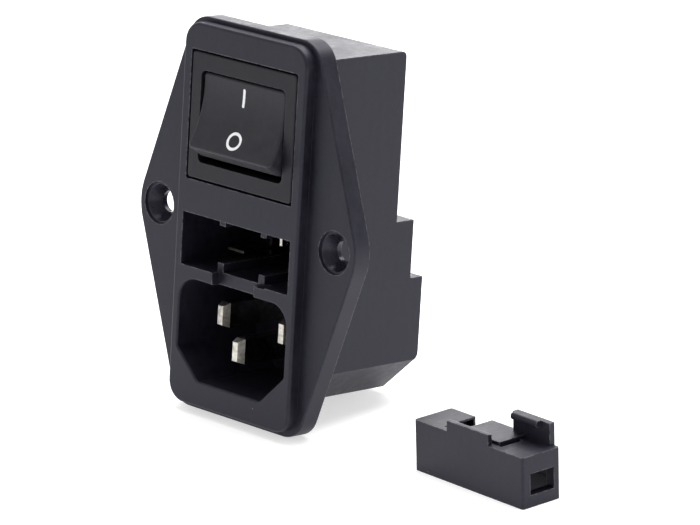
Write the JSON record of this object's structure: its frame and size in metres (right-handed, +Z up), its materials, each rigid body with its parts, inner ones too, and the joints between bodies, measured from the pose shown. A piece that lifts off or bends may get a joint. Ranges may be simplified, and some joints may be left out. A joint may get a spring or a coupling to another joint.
{
  "type": "iec appliance inlet",
  "caption": "Panel-mounted mains inlet with a rocker switch, an open fuse slot and a three-pin socket, with its fuse carrier taken out beside it.",
  "frame": {"origin": "on the flange's back face, midway between the two screw holes", "axes": "+X to the right seen from the front, +Y into the panel, +Z up with the switch above the socket"},
  "size_m": [0.0853, 0.0309, 0.0626],
  "materials": {
    "moulded_black": "black flame-retardant nylon moulding with a fine satin grain",
    "switch_black": "black nylon with fine spark-eroded grain",
    "base_grey": "dark grey heat-resistant moulding",
    "nickel": "nickel-plated brass, semi-bright",
    "bare_brass": "rolled brass strip",
    "contact_silver": "dull silver alloy",
    "spring_steel": "drawn spring wire"
  },
  "bodies": {
    "inlet": {"housing": "moulded_black", "live_pin": "nickel", "neutral_pin": "nickel", "earth_pin": "nickel", "switch_frame": "switch_black", "switch_base": "base_grey", "fuse_carrier": "moulded_black", "fuse_contact_left": "nickel", "fuse_contact_right": "nickel", "feed_terminal_left": "nickel", "feed_terminal_right": "nickel", "load_terminal_left": "nickel", "load_terminal_right": "nickel", "fixed_contact_left": "contact_silver", "fixed_contact_right": "contact_silver"},
    "rocker": {"rocker": "switch_black", "plunger_spring_left": "spring_steel", "plunger_spring_right": "spring_steel"},
    "plunger_left": {"plunger_left": "base_grey"},
    "bridge_left": {"contact_bridge_left": "bare_brass", "bridge_contact_left": "contact_silver"},
    "plunger_right": {"plunger_right": "base_grey"},
    "bridge_right": {"contact_bridge_right": "bare_brass", "bridge_contact_right": "contact_silver"}
  },
  "joints": [
    {"name": "rocker_tilt", "type": "hinge", "parent": "inlet", "child": "rocker", "pos_m": [0, -0.0013, 0.01616], "axis": [1, 0, 0], "range_deg": [0, 28]},
    {"name": "plunger_left_press", "type": "slide", "parent": "rocker", "child": "plunger_left", "axis": [0, -0.9703, 0.2419], "range_m": [0, 0.0005], "stiffness_N_per_m": 200, "springref_m": -0.0005, "deforming": ["plunger_spring_left"]},
    {"name": "bridge_left_rock", "type": "hinge", "parent": "inlet", "child": "bridge_left", "pos_m": [-0.005, 0.00595, 0.01616], "axis": [1, 0, 0], "range_deg": [-22, 0]},
    {"name": "plunger_right_press", "type": "slide", "parent": "rocker", "child": "plunger_right", "axis": [0, -0.9703, 0.2419], "range_m": [0, 0.0005], "stiffness_N_per_m": 200, "springref_m": -0.0005, "deforming": ["plunger_spring_right"]},
    {"name": "bridge_right_rock", "type": "hinge", "parent": "inlet", "child": "bridge_right", "pos_m": [0.005, 0.00595, 0.01616], "axis": [1, 0, 0], "range_deg": [-22, 0]}
  ],
  "couplings": [
    {"joint": "bridge_left_rock", "follows": "rocker_tilt", "ratio": -0.78571},
    {"joint": "bridge_right_rock", "follows": "rocker_tilt", "ratio": -0.78571}
  ]
}
